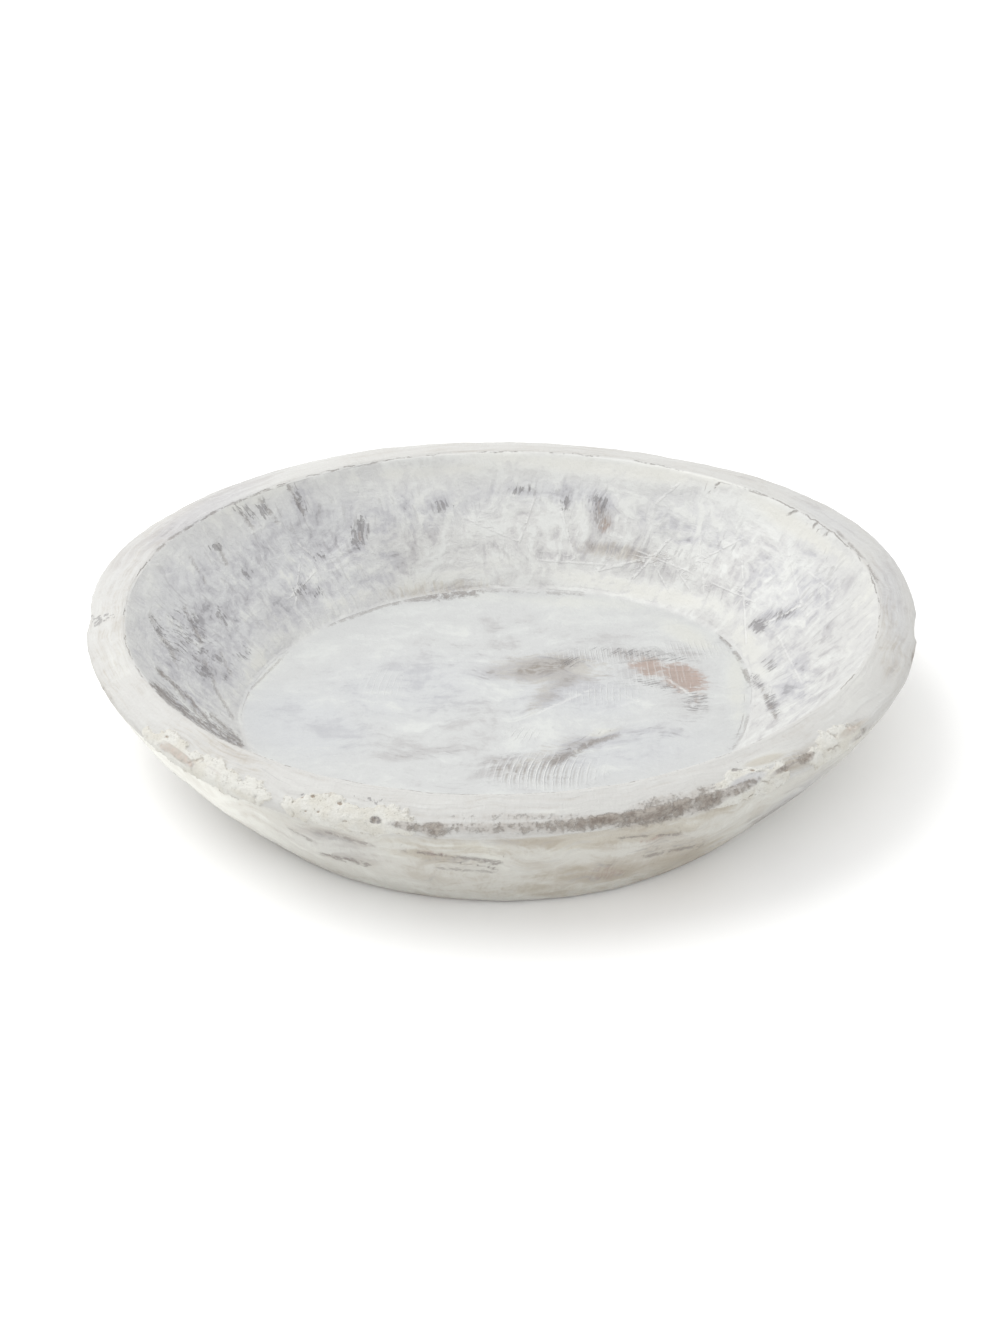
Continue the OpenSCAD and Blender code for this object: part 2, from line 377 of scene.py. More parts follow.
def keep(mesh, attribute, values):
    """Keeps a value for each point of a mesh under a name."""
    values = np.asarray(values, np.float32)
    kind, field = ("FLOAT", "value") if values.ndim == 1 else ("FLOAT_VECTOR", "vector")
    layer = mesh.attributes.get(attribute) or mesh.attributes.new(attribute, kind, "POINT")
    layer.data.foreach_set(field, values.ravel())


def mesh_of(name, points, faces, **attributes):
    mesh = bpy.data.meshes.new(name)
    mesh.from_pydata([tuple(p) for p in points], [], faces)
    for attribute, values in attributes.items():
        keep(mesh, attribute, values)
    return mesh


def read(source, field, wide=3):
    """One field of all of a mesh's points, or of what belongs to them."""
    found = np.zeros(len(source) * wide, np.float32)
    source.foreach_get(field, found)
    return (found.reshape(-1, wide) if wide > 1 else found).astype(float)


def numbers(mesh, attribute):
    return read(mesh.attributes[attribute].data, "value", 1)


def move(mesh, points):
    mesh.vertices.foreach_set("co", points.astype(np.float32).ravel())
    mesh.update()


# The section is swept round the oval by Geometry Nodes, which also cut the gouge scallops in the
# hollow, the broad adze flats outside, and the small unevenness of hand work.
carving = {
    "Steps Round": steps_round, "Stations": len(section), "Oval Power": oval_power,
    "Gouge Cuts": 36.0, "Gouge Depth": 0.45 * mm, "Adze Flats": 24.0, "Adze Depth": 0.5 * mm,
    "Unevenness": 0.8 * mm, "Tool Marks": 0.35 * mm, "Seed": 7.0,
}
carve, sizes = new_tree("carve_bowl", carving)
size = sizes.out
grid = carve.node("GeometryNodeMeshGrid", {}, {
    "Size X": 1.0, "Size Y": 1.0,
    "Vertices X": size("Steps Round") + 1, "Vertices Y": size("Stations")})
index = carve.node("GeometryNodeInputIndex")
step = carve.sum("FLOOR", (index + 0.5) / size("Stations"))
row = index - step * size("Stations")
turn = step / size("Steps Round") * 2 * pi


def at_station(kind, value):
    return carve.node("GeometryNodeSampleIndex", {"data_type": kind}, {
        "Geometry": size("Geometry"), "Value": value, "Index": row})


def outline_reach(rows):
    return 1 + sum(share * carve.sum("COSINE", waves * (turn - radians(crest)))
                   for waves, share, crest in rows)


station = at_station("FLOAT_VECTOR", carve.node("GeometryNodeInputPosition"))
station_x, station_y, station_z = (
    carve.node("ShaderNodeSeparateXYZ", {}, {0: station}).out(axis) for axis in "XYZ")
outline = at_station("FLOAT", carve.stored("outline"))
place = at_station("FLOAT", carve.stored("place"))
across, along = carve.sum("COSINE", turn), carve.sum("SINE", turn)
power = size("Oval Power")
oval = (abs(across) ** power + abs(along) ** power) ** (-1 / power)
reaches = [outline_reach(rows) for rows in outlines]
reach = reaches[foot]
for nearer, further in ((foot, edge), (edge, lip), (lip, floor)):
    reach = reach + (reaches[further] - reaches[nearer]) * (outline - nearer).held()
reach = oval * reach
rise = 1 + (outline_reach(rise_waves) - highest_rise) * (station_z / bowl_height) ** 2

# Gouge and adze were swung by hand, so their cuts are neither evenly wide nor evenly deep.
wander = carve.noise(carve.vector(across, along, place / 14) + (3.1, 0.7, 5.3), 0.45) - 0.5
hollow_share = ((place - lip_end) / (crease_start - lip_end)).held()
second_row = carve.sum("GREATER_THAN", hollow_share, 0.5) * 0.5
gouged = abs(carve.sum("SINE", (turn / (2 * pi) * size("Gouge Cuts") + wander * 3 + second_row) * pi))
gouged = (size("Gouge Depth") * carve.sum("SINE", hollow_share * pi) * (gouged - 0.5)
          * (0.7 + wander * 3))
wall_share = ((place - foot_end) / (edge_start - foot_end)).held()
adzed = abs(carve.sum("SINE", (turn / (2 * pi) * size("Adze Flats") + wander * 2) * pi))
cut = gouged - size("Adze Depth") * carve.sum("SINE", wall_share * pi) * adzed
spot = carve.vector((station_x + cut) * reach * across, (station_y + cut) * reach * along,
                    station_z * rise)
spot = carve.sum("MULTIPLY", spot - middle, stretch)
swept = carve.moved(grid, Position=spot)
swept = carve.store(swept, {"across": across, "along": along, "row": row, "place": place})
rim_ring = carve.vector(across * oval * half_length, along * oval * half_width, 0)
swept = carve.store(swept, {"ring": rim_ring}, "FLOAT_VECTOR")
closed = carve.node("GeometryNodeMergeByDistance", {}, {"Geometry": swept, "Distance": 0.01 * mm})

here = carve.node("GeometryNodeInputPosition")
facing = carve.node("GeometryNodeInputNormal")
kept_flat = carve.stored("place").ease(0.0, 1.8)
uneven = (carve.noise(here + (1.3, 2.7, 0), 32 * mm, 1) - 0.5) * size("Unevenness") * 2
marked = (carve.noise(here + (5.3, 1.7, 0), 7 * mm, 3, 0.6) - 0.5) * size("Tool Marks") * 2
worked = carve.moved(closed, Offset=facing * ((uneven + marked) * kept_flat))
seeded = here + carve.vector(size("Seed"), 0.3, 0.9)
lump_sizes = {"crumbs": 2.6 * mm, "lumps": 9 * mm, "patches": 30 * mm}
worked = carve.store(worked, {name: carve.noise(seeded, lump, 3, 0.6)
                              for name, lump in lump_sizes.items()})
worked = carve.node("GeometryNodeSetShadeSmooth", {}, {"Geometry": worked})
end_tree(carve, sizes, worked)

limewash, limewash_finish = new_material("limewashed_wood")
section_mesh = mesh_of("section", [s[:3] for s in section], [],
                       outline=[s[3] for s in section], place=[s[4] for s in section])
bowl = made_by(carve, carving, section_mesh, limewash, "bowl_body_carved")
bowl_mesh = bowl.data
bowl_points = read(bowl_mesh.vertices, "co")
row_of = np.round(numbers(bowl_mesh, "row")).astype(int)
place_of = numbers(bowl_mesh, "place")
turn_of = np.degrees(np.arctan2(numbers(bowl_mesh, "along"), numbers(bowl_mesh, "across")))
step_of = np.round(turn_of / 360 * steps_round).astype(int) % steps_round
crumbs, lumps, patches = (numbers(bowl_mesh, name) for name in lump_sizes)

# Breaks in the rim's outer edge: angle where each starts and ends, share of the full depth, and
# share of the rim's top that it reaches over. Four are filled and three are left open.
break_depth = 5 * mm
filled_breaks = {
    "rim_filler_left": (-147.5, -120, 0.85, 0.8), "rim_filler_front": (-120, -100, 0.7, 0.85),
    "rim_filler_right": (-62.5, -47.5, 0.75, 0.85), "rim_filler_corner": (-45, -32.5, 0.55, 0.8)}
open_chips = [(172.5, 182.5, 0.4, 0.5), (-80, -65, 0.4, 0.5), (-5, 2.5, 0.3, 0.5)]
break_first, break_last = 7, lip_start


def hump(share):
    return np.sin(pi * np.clip(share, 0, 1))


def break_share(turn, place, row):
    """How deep a break is at points of the surface, as a share of the full depth."""
    start, end, depth, reach = row
    past = (turn - start + 720) % 360
    along = past / (end - start)
    waver = 1 - 0.15 * (1 + np.sin(np.radians(past / 9 * 360))) / 2
    across = (place - break_first) / (reach * waver * (break_last - break_first))
    inside = (along > 0) & (along < 1) & (across > 0) & (across < 1)
    return np.where(inside, depth * hump(along) ** 0.5 * hump(across) ** 0.8, 0)


def into_rim(turn, depth):
    """A step of some depth into the wood, square to the fall of the rim's top."""
    a = np.radians(turn)
    out = [cos(rim_slope) * np.cos(a), cos(rim_slope) * np.sin(a), np.full_like(a, sin(rim_slope))]
    return -depth[..., None] * np.stack(out, -1)


def between(value, low, high, soft):
    """1 between low and high, fading over soft on both sides."""
    return np.clip((value - low) / soft, 0, 1) * np.clip((high - value) / soft, 0, 1)


# The old edge has crumbled between the breaks as well, mostly along the front, and the lip is
# chipped here and there.
crumbled_depth, lip_chip_depth = 1.9 * mm, 0.9 * mm
sound_facing = read(bowl_mesh.vertex_normals, "vector")
front_wear = between(turn_of, -118, -36, 6)
crumbled = np.clip(lumps * 2.4 - 0.75, 0, 1) * (0.25 + 0.75 * front_wear)
crumbled = between(place_of, 7.4, 12.2, 1.2) * crumbled
bowl_points += into_rim(turn_of, crumbled_depth * crumbled * (0.35 + crumbs))
lip_chips = np.clip(lumps * 4 - 2.1, 0, 1) * np.clip(patches * 4 - 1.5, 0.2, 1)
lip_chips = between(place_of, 15.6, 20.6, 1.4) * lip_chips
bowl_points -= sound_facing * (lip_chip_depth * lip_chips * (0.4 + crumbs))[:, None]
move(bowl_mesh, bowl_points)
sound_facing = read(bowl_mesh.vertex_normals, "vector")
sound_grid, facing_grid, ring_grid = np.zeros((3, steps_round, len(section), 3))
sound_grid[step_of, row_of] = bowl_points
facing_grid[step_of, row_of] = sound_facing
ring_grid[step_of, row_of] = read(bowl_mesh.attributes["ring"].data, "vector")

broken = sum(break_share(turn_of, place_of, row) for row in [*filled_breaks.values(), *open_chips])
bowl_points += into_rim(turn_of, break_depth * broken)
move(bowl_mesh, bowl_points)
shaded = np.where(broken[:, None] > 0, read(bowl_mesh.vertex_normals, "vector"), sound_facing)
bowl_mesh.normals_split_custom_set_from_vertices(shaded)


# Marks of wear and of the brush, and of painted light and shade, placed where the photograph shows
# them.
class Seen:
    """Points of a surface, with where the photograph shows each of them."""

    def __init__(self, points, facing, place):
        self.u, self.v = photo_place(points)
        towards_eye = np.einsum("ij,ij->i", facing, eye - points)
        self.seen = np.clip(towards_eye * 10, 0, 1)
        self.surfaces = {
            "outside": between(place, 0, 8.6, 0.6), "edge": between(place, 5.6, 13, 0.8),
            "rim": between(place, 7.6, 20, 0.5), "hollow": between(place, 18.6, 28.6, 0.6),
            "floor": np.clip((place - 27.6) / 1.2, 0, 1)}

    def marked(self, table):
        """How strongly each point is marked, from the strongest mark that reaches it. A mark is
        full out to half its size and has faded out at one and a half times its size."""
        strongest = np.zeros(len(self.u))
        for surface, across, down, half_long, half_wide, lean, strength in each(table):
            du, dv = self.u - across, self.v - down
            c, s = cos(radians(lean)), sin(radians(lean))
            away = np.hypot((du * c + dv * s) / half_long, (dv * c - du * s) / half_wide)
            here = strength * np.clip(1.5 - away, 0, 1) * self.surfaces[surface] * self.seen
            strongest = np.maximum(strongest, here)
        return strongest

    def lined(self, table, far=9.0):
        """Distance to the nearest line, in its own half widths, and how strong it is there."""
        offset, strength_here = np.full(len(self.u), far), np.zeros(len(self.u))
        nearest = np.full(len(self.u), 1e9)
        for surface, u0, v0, u1, v1, half_width, strength in each(table):
            length = np.hypot(u1 - u0, v1 - v0)
            along = ((self.u - u0) * (u1 - u0) + (self.v - v0) * (v1 - v0)) / length
            off = ((self.v - v0) * (u1 - u0) - (self.u - u0) * (v1 - v0)) / length
            past = np.maximum(np.maximum(-along, along - length), 0)
            hidden = (self.surfaces[surface] < 0.3) | (self.seen < 0.05)
            away = np.hypot(off, past) + 1e3 * hidden
            closer = (away < nearest) & (away < far)
            fading = strength * np.clip(1.5 - past / 4, 0, 1) * np.clip(2 - away / 4.5, 0, 1)
            offset = np.where(closer, off / half_width, offset)
            strength_here = np.where(closer, fading, strength_here)
            nearest = np.where(closer, away, nearest)
        return offset, strength_here


def each(table):
    """The rows of a table of marks, each with the surface that it is on."""
    return [(surface, *row) for surface, rows in table.items() for row in rows]


# Each mark: pixel across and down, half length and half width in pixels, lean in degrees, strength.
bare_wood = {
    "floor": [(648, 667, 18, 9, 10, 0.95), (682, 677, 22, 12, 20, 1.2), (698, 696, 5, 10, 20, 0.5)],
    "hollow": [(605, 524, 7, 9, 0, 0.55), (600, 508, 5, 10, -20, 0.4), (360, 538, 5, 6, 12, 0.4)],
    "rim": [(180, 755, 20, 4, 38, 0.7), (166, 748, 8, 4, 38, 0.5), (215, 771, 12, 2, 34, 0.4),
        (850, 731, 18, 5, -32, 0.45)],
    "outside": [(430, 854, 32, 4, 8, 0.3), (608, 873, 22, 6, -6, 0.5), (655, 838, 24, 3, -10, 0.35)],
}
# Grey smudges. The long bands along the back of the rim, the marks along the back crease of the floor
# and hollow, and the band on the outer wall's right front are painted shade.
smoke_and_shade = {
    "floor": [(425, 753, 46, 5, -6, 0.6), (390, 757, 14, 6, -10, 0.5), (338, 735, 22, 5, 10, 0.3),
        (545, 667, 46, 10, -7, 1.1), (505, 672, 36, 8, -3, 0.85), (560, 689, 28, 8, -42, 0.9),
        (445, 787, 28, 4, 4, 0.4), (508, 768, 24, 13, 0, 0.95), (555, 776, 34, 9, 0, 0.35),
        (562, 754, 26, 5, -35, 1.2), (598, 740, 24, 4, -18, 1), (640, 734, 26, 4, -20, 0.8),
        (672, 733, 12, 4, -20, 0.8), (690, 716, 14, 8, -20, 0.5), (476, 656, 9, 3, -6, 0.55),
        (390, 666, 10, 4, -14, 0.5), (497, 629, 10, 3, 0, 0.5), (640, 656, 36, 6, 6, 0.75),
        (690, 655, 22, 6, 30, 0.6), (655, 682, 20, 4, 14, 0.7), (680, 696, 16, 4, 20, 0.6),
        (668, 674, 44, 20, 14, 0.45), (400, 718, 9, 6, 0, 0.35), (697, 703, 13, 10, 10, 1),
        (548, 690, 24, 8, -48, 0.35), (440, 596, 42, 4, -8, 0.9), (540, 592, 46, 3, 2, 0.5),
        (462, 740, 26, 4, -8, 0.4), (740, 742, 8, 16, 24, 0.4)],
    "rim": [(200, 508, 90, 12, -32, 0.45), (260, 768, 70, 10, 26, 0.3), (500, 452, 150, 5, 0, 0.3),
        (795, 760, 18, 6, -32, 0.9), (890, 668, 10, 9, -60, 0.4), (850, 727, 18, 4, -35, 0.5),
        (180, 740, 12, 5, 30, 0.35), (760, 480, 40, 3, 12, 0.4)],
    "hollow": [(440, 591, 46, 4, -8, 0.6), (615, 550, 40, 6, 8, 0.8), (603, 514, 12, 20, 0, 1),
        (670, 562, 26, 15, 18, 0.6), (566, 505, 4, 11, 4, 0.8), (523, 490, 13, 5, 8, 0.8),
        (440, 503, 12, 8, 0, 0.7), (360, 533, 8, 16, 10, 1), (776, 617, 22, 7, -16, 0.8),
        (757, 626, 8, 6, 0, 1), (715, 590, 34, 10, 28, 0.5), (540, 555, 50, 7, 2, 0.4),
        (500, 545, 30, 5, 0, 0.4), (788, 690, 9, 20, -20, 0.45), (768, 664, 8, 7, 40, 0.8),
        (772, 704, 6, 12, -24, 0.8), (757, 682, 5, 9, -40, 0.8), (693, 512, 6, 8, 20, 0.5),
        (640, 530, 9, 10, 0, 0.4), (727, 545, 14, 8, 20, 0.5), (830, 560, 12, 8, 40, 0.4),
        (300, 590, 10, 9, -20, 0.5), (315, 555, 9, 12, 10, 0.5), (300, 500, 6, 16, -20, 0.7),
        (320, 515, 8, 8, 0, 0.5), (848, 612, 6, 9, 0, 0.5), (825, 640, 8, 8, 0, 0.5),
        (835, 612, 40, 60, 20, 0.35)],
    "outside": [(335, 837, 36, 6, 14, 0.5), (350, 858, 28, 4, 14, 0.45), (450, 860, 46, 5, 6, 0.5),
        (425, 878, 22, 4, 8, 0.4), (560, 866, 50, 7, 0, 0.3), (600, 876, 40, 6, -6, 0.6),
        (650, 856, 80, 14, -12, 0.6), (700, 850, 50, 8, -22, 0.45), (770, 818, 70, 12, -36, 0.45),
        (640, 842, 60, 8, -8, 0.45), (500, 838, 90, 6, 2, 0.4)],
}
# The grey-lilac of a thin coat, and a blue-grey chip on the rim. The long bands along the rim's sides
# and back, and the band on the outer wall's right front, are painted shade.
lilac = {
    "hollow": [(205, 620, 64, 80, 0, 0.8), (290, 550, 100, 44, -30, 0.75), (420, 505, 90, 20, -6, 0.55),
        (330, 590, 60, 30, -30, 0.6), (560, 493, 70, 13, 4, 0.6), (690, 520, 60, 26, 14, 0.4),
        (790, 590, 40, 46, 40, 0.35), (790, 680, 24, 30, 0, 0.3)],
    "floor": [(300, 725, 60, 30, 8, 0.6), (400, 690, 90, 30, -6, 0.35), (620, 750, 80, 24, -6, 0.4),
        (560, 690, 60, 30, 0, 0.35), (600, 700, 40, 18, 0, 0.5)],
    "rim": [(748, 780, 22, 6, -20, 1), (892, 600, 12, 50, -10, 0.6), (830, 520, 44, 8, 32, 0.5),
        (130, 560, 20, 40, 30, 0.3), (200, 515, 80, 12, -30, 0.6)],
    "outside": [(800, 800, 70, 12, -36, 1), (330, 845, 50, 12, 14, 0.5)],
}
cream = {
    "floor": [(600, 733, 14, 4, -12, 1), (690, 636, 34, 9, 26, 0.9), (737, 690, 10, 42, -4, 0.9),
        (268, 668, 8, 46, 40, 0.6), (560, 600, 120, 7, 4, 0.5)],
    "hollow": [(420, 583, 100, 7, -14, 0.5), (640, 590, 90, 9, 12, 0.8), (745, 640, 12, 40, -30, 0.7),
        (862, 610, 14, 60, 10, 0.5), (620, 470, 160, 8, 6, 0.7), (800, 530, 60, 9, 34, 0.9),
        (250, 500, 60, 8, -28, 0.5), (420, 472, 90, 6, -5, 0.5), (262, 660, 8, 46, 40, 0.6)],
    "rim": [(120, 660, 18, 60, 20, 0.4), (600, 806, 90, 4, -8, 0.5), (850, 690, 16, 24, 40, 0.5),
        (300, 786, 110, 8, 18, 0.5), (765, 760, 30, 6, -16, 0.9), (828, 742, 16, 5, -34, 1)],
    "outside": [(540, 850, 80, 12, 0, 0.5)],
}
specks = {
    "hollow": [(160, 630, 4, 16, -26, 0.55), (173, 652, 4, 14, -30, 0.6), (196, 622, 5, 12, -24, 0.55),
        (190, 640, 16, 30, -30, 0.35), (250, 511, 16, 8, 20, 0.55), (262, 509, 5, 10, -20, 0.6),
        (299, 502, 4, 14, -20, 0.7), (246, 573, 7, 6, 0, 0.6), (215, 547, 6, 5, 0, 0.7),
        (205, 672, 6, 8, -30, 0.7), (219, 658, 4, 4, 0, 0.8), (222, 616, 4, 11, -24, 0.6),
        (228, 672, 4, 9, 20, 0.5), (178, 706, 30, 7, 42, 0.45), (222, 734, 24, 7, 36, 0.5),
        (320, 556, 6, 5, 0, 0.45), (302, 590, 7, 7, 0, 0.5), (318, 592, 6, 6, 0, 0.5),
        (242, 652, 8, 8, 0, 0.4), (360, 533, 8, 14, 10, 0.85), (442, 504, 9, 7, 0, 0.65),
        (523, 490, 12, 5, 6, 0.55), (600, 504, 10, 10, 0, 0.5), (758, 626, 8, 6, 0, 0.8),
        (782, 615, 14, 4, -20, 0.6), (566, 503, 3, 9, 4, 0.7), (771, 703, 6, 12, -24, 0.6),
        (757, 682, 5, 9, -40, 0.5), (768, 664, 7, 6, 40, 0.5), (566, 505, 4, 11, 4, 0.5)],
    "rim": [(97, 620, 8, 6, 0, 0.6), (107, 616, 6, 4, 0, 0.5), (312, 798, 28, 5, 14, 0.2),
        (378, 821, 12, 4, 10, 0.5), (372, 800, 20, 4, 10, 0.3)],
    "floor": [(640, 654, 44, 4, 6, 0.4), (570, 662, 14, 4, -4, 0.5), (697, 701, 14, 10, 10, 0.4),
        (655, 684, 24, 4, 14, 0.4)],
}
worn_edge = {
    "edge": [(376, 820, 6, 4, 10, 0.9), (408, 826, 24, 5, 8, 0.65), (434, 829, 13, 8, 4, 1.1),
        (478, 826, 34, 8, 0, 0.6), (520, 826, 34, 8, 0, 0.65), (556, 825, 30, 8, -4, 0.75),
        (588, 821, 26, 9, -6, 1), (603, 819, 22, 7, -8, 1.5), (640, 816, 28, 9, -10, 1.15),
        (670, 808, 30, 11, -16, 1.25), (704, 800, 24, 10, -20, 1.05), (738, 788, 24, 7, -24, 0.7),
        (805, 757, 9, 6, -35, 1.1), (784, 768, 16, 3, -30, 0.8), (858, 735, 18, 3, -38, 0.5)],
    "rim": [(655, 802, 26, 5, -16, 0.6), (700, 793, 24, 5, -20, 0.6), (520, 817, 80, 4, 0, 0.4)],
}
# Painted light: a whiter coat where the back and right walls of the hollow and the left of the outer
# wall are lit.
painted_light = {
    "hollow": [(560, 510, 130, 60, 2, 0.75), (740, 545, 80, 60, 34, 1), (600, 468, 170, 14, 6, 1),
        (640, 590, 130, 14, 12, 0.9), (400, 500, 60, 30, -14, 0.5), (330, 560, 40, 20, -34, 0.6),
        (320, 590, 40, 30, 0, 0.3)],
    "outside": [(180, 778, 90, 34, 36, 2.3), (280, 835, 60, 14, 26, 0.5)],
}
# Warm stains. On the rim, the long marks down its left and right sides are painted shade, and so is the
# mark along the back crease in the hollow.
stains_and_shade = {
    "outside": [(470, 846, 80, 8, 4, 0.5), (560, 842, 60, 8, 0, 0.8), (640, 832, 60, 9, -8, 1),
        (720, 808, 34, 7, -26, 0.8), (600, 874, 60, 10, -4, 0.7), (680, 862, 50, 12, -22, 0.8),
        (430, 856, 40, 6, 8, 0.6), (560, 890, 90, 8, 0, 0.6), (600, 832, 90, 6, -6, 0.8)],
    "rim": [(178, 752, 22, 6, 38, 0.8), (850, 731, 20, 6, -32, 0.7), (890, 640, 14, 60, -6, 0.35),
        (140, 560, 20, 60, 34, 0.25), (220, 750, 60, 14, 28, 0.35), (112, 650, 22, 90, 6, 0.28),
        (800, 760, 30, 10, -30, 0.6)],
    "hollow": [(440, 588, 60, 7, -6, 0.5), (620, 552, 40, 8, 8, 0.7)],
    "floor": [(550, 670, 50, 14, 0, 0.9), (548, 690, 26, 10, -48, 0.6), (560, 752, 60, 12, -20, 0.4)],
}
# Ribs that the gouge left on the floor where it chattered: pixel across and down, half length and
# half width in pixels, lean, the radius that they curve by, spacing, strength.
rib_patches = [
    (543, 772, 46, 14, 0.16, 46 * mm, 4.0 * mm, 1.3), (522, 734, 16, 6, 0.4, 60 * mm, 3.2 * mm, 0.6),
    (655, 672, 34, 14, -0.1, 200 * mm, 3.4 * mm, 0.4), (385, 683, 24, 12, 0.2, 90 * mm, 3.2 * mm, 0.35),
    (612, 655, 52, 6, -0.1, 200 * mm, 2.7 * mm, 0.7), (600, 694, 30, 9, 0.0, 200 * mm, 3.0 * mm, 0.45),
    (690, 650, 30, 8, -0.2, 200 * mm, 3.0 * mm, 0.5),
]
body_seen = Seen(bowl_points, shaded, place_of)
rib_turns, rib_strength = np.zeros(len(row_of)), np.zeros(len(row_of))
for across, down, half_long, half_wide, lean, curve, spacing, strength in rib_patches:
    reach = body_seen.marked({"floor": [(across, down, half_long, half_wide, 0, strength)]})
    right, back, _ = (bowl_points - on_level(across, down, floor_thickness)).T
    crossing = (right - lean * back - back ** 2 / (2 * curve)) / spacing
    rib_turns = np.where(reach > rib_strength, crossing, rib_turns)
    rib_strength = np.maximum(rib_strength, reach)
keep(bowl_mesh, "rib_turns", rib_turns)
keep(bowl_mesh, "rib_strength", rib_strength)

# Each line: its two ends in pixels, half width in pixels, strength.
# Most are cracks and streaks. Those along the crease round the floor, and the two short ones at the
# left filler's lower edge, are painted shade.
dark_lines = {
    "hollow": [(153, 686, 190, 717, 4, 1.3), (190, 717, 240, 745, 3.4, 1.3),
        (160, 672, 190, 700, 1.8, 1.2), (190, 700, 216, 728, 1.8, 1.1), (152, 618, 166, 644, 2.2, 0.6),
        (165, 640, 178, 664, 2, 0.6), (170, 702, 206, 728, 2.6, 1), (214, 716, 240, 742, 2.2, 0.9),
        (178, 690, 200, 716, 1.6, 0.8), (288, 486, 303, 512, 1.5, 0.8), (262, 502, 276, 520, 1.8, 0.7),
        (240, 512, 252, 526, 1.8, 0.6), (192, 560, 204, 580, 1.6, 0.6), (218, 546, 226, 562, 1.6, 0.6),
        (186, 610, 200, 640, 1.8, 0.8), (216, 690, 232, 716, 1.6, 0.6), (206, 664, 214, 680, 2.2, 0.7),
        (222, 655, 230, 672, 1.5, 0.5), (792, 513, 800, 509, 1.2, 1), (814, 526, 822, 518, 1.2, 1),
        (826, 534, 832, 528, 1.2, 1), (712, 490, 720, 482, 1.2, 0.9), (764, 692, 775, 716, 2, 0.9)],
    "floor": [(332, 624, 392, 603, 1.2, 0.6), (392, 603, 430, 597, 2, 0.7),
        (430, 597, 482, 591, 3.4, 0.95), (482, 590, 580, 594, 1.4, 0.5), (240, 712, 250, 690, 1, 0.5),
        (250, 690, 285, 655, 1, 0.5), (722, 636, 738, 655, 2.2, 0.9), (738, 655, 750, 682, 2.2, 0.8),
        (745, 730, 748, 719, 1.6, 0.5), (734, 748, 743, 734, 1.2, 0.4), (556, 762, 590, 744, 2.8, 0.9),
        (590, 744, 615, 736, 2, 0.8), (752, 700, 756, 680, 1.2, 0.4)],
    "rim": [(160, 548, 172, 538, 1.2, 0.9), (172, 538, 214, 513, 1.2, 0.9),
        (229, 505, 262, 493, 1, 0.7), (262, 493, 290, 485, 1.2, 0.8), (322, 477, 375, 463, 0.9, 0.7),
        (840, 534, 862, 556, 1.2, 0.8), (862, 556, 877, 580, 1.2, 0.8), (716, 482, 762, 495, 1, 0.7),
        (735, 770, 768, 772, 1.2, 1)],
    "outside": [(262, 804, 279, 810, 1.2, 0.8), (330, 833, 370, 845, 1.2, 0.8),
        (405, 851, 500, 862, 1.2, 1), (324, 854, 369, 864, 1.2, 1.1), (755, 822, 830, 776, 1.6, 0.7),
        (790, 806, 850, 764, 1.3, 0.7), (622, 838, 676, 834, 1, 1), (648, 856, 700, 845, 1.2, 0.9),
        (478, 861, 498, 864, 1.3, 1.1), (336, 859, 366, 866, 1, 0.9), (292, 830, 310, 840, 1.1, 0.8),
        (440, 868, 492, 872, 1.1, 0.7), (280, 806, 300, 812, 1, 0.8)],
}
pale_lines = {
    "hollow": [(633, 578, 667, 542, 1.4, 1), (640, 552, 690, 572, 1, 0.7), (652, 560, 668, 590, 1, 0.7),
        (668, 556, 690, 590, 1, 0.7), (700, 560, 740, 540, 1, 0.7), (705, 580, 750, 600, 1, 0.8),
        (742, 560, 746, 640, 1.3, 0.8), (768, 622, 800, 606, 1.4, 0.9), (300, 545, 318, 560, 1.1, 0.7),
        (293, 595, 312, 575, 1.1, 0.7), (300, 560, 296, 600, 1.1, 0.7), (560, 505, 575, 560, 1.6, 0.7),
        (470, 520, 515, 540, 1.2, 0.55), (780, 640, 800, 680, 1.2, 0.45),
        (800, 620, 830, 600, 1.2, 0.5), (600, 570, 640, 560, 1.2, 0.7), (520, 540, 534, 500, 1.3, 0.7),
        (660, 500, 676, 486, 1.3, 0.7), (700, 545, 704, 590, 1.2, 0.6), (812, 575, 830, 590, 1.2, 0.4),
        (790, 560, 800, 600, 1.1, 0.4), (540, 560, 620, 566, 1.2, 0.5)],
    "floor": [(540, 712, 590, 690, 1.4, 0.4), (672, 682, 690, 694, 1.3, 0.8),
        (640, 700, 600, 712, 1.4, 0.2)],
}
marks = {"bare_wood": bare_wood, "smoke_and_shade": smoke_and_shade, "lilac": lilac, "cream": cream, "specks": specks,
         "worn_edge": worn_edge, "stains_and_shade": stains_and_shade, "painted_light": painted_light}


def mark(mesh, seen):
    """Keeps every mark on a mesh, for its material to read."""
    for name, table in marks.items():
        keep(mesh, name, seen.marked(table))
    for name, table in (("dark_line", dark_lines), ("pale_line", pale_lines)):
        offset, strength = seen.lined(table)
        keep(mesh, name + "_offset", offset)
        keep(mesh, name + "_strength", strength)


mark(bowl_mesh, body_seen)
# Old wood shows all round the broken edge, patch by patch, where the photograph can't show it.
out_of_sight = between(abs(turn_of + 90), 62, 180, 8)
worn_elsewhere = np.clip(patches * 5 - 2.6, 0, 0.9) * between(place_of, 7.4, 11.4, 1.4) * out_of_sight
keep(bowl_mesh, "worn_edge", np.maximum(numbers(bowl_mesh, "worn_edge"), worn_elsewhere))


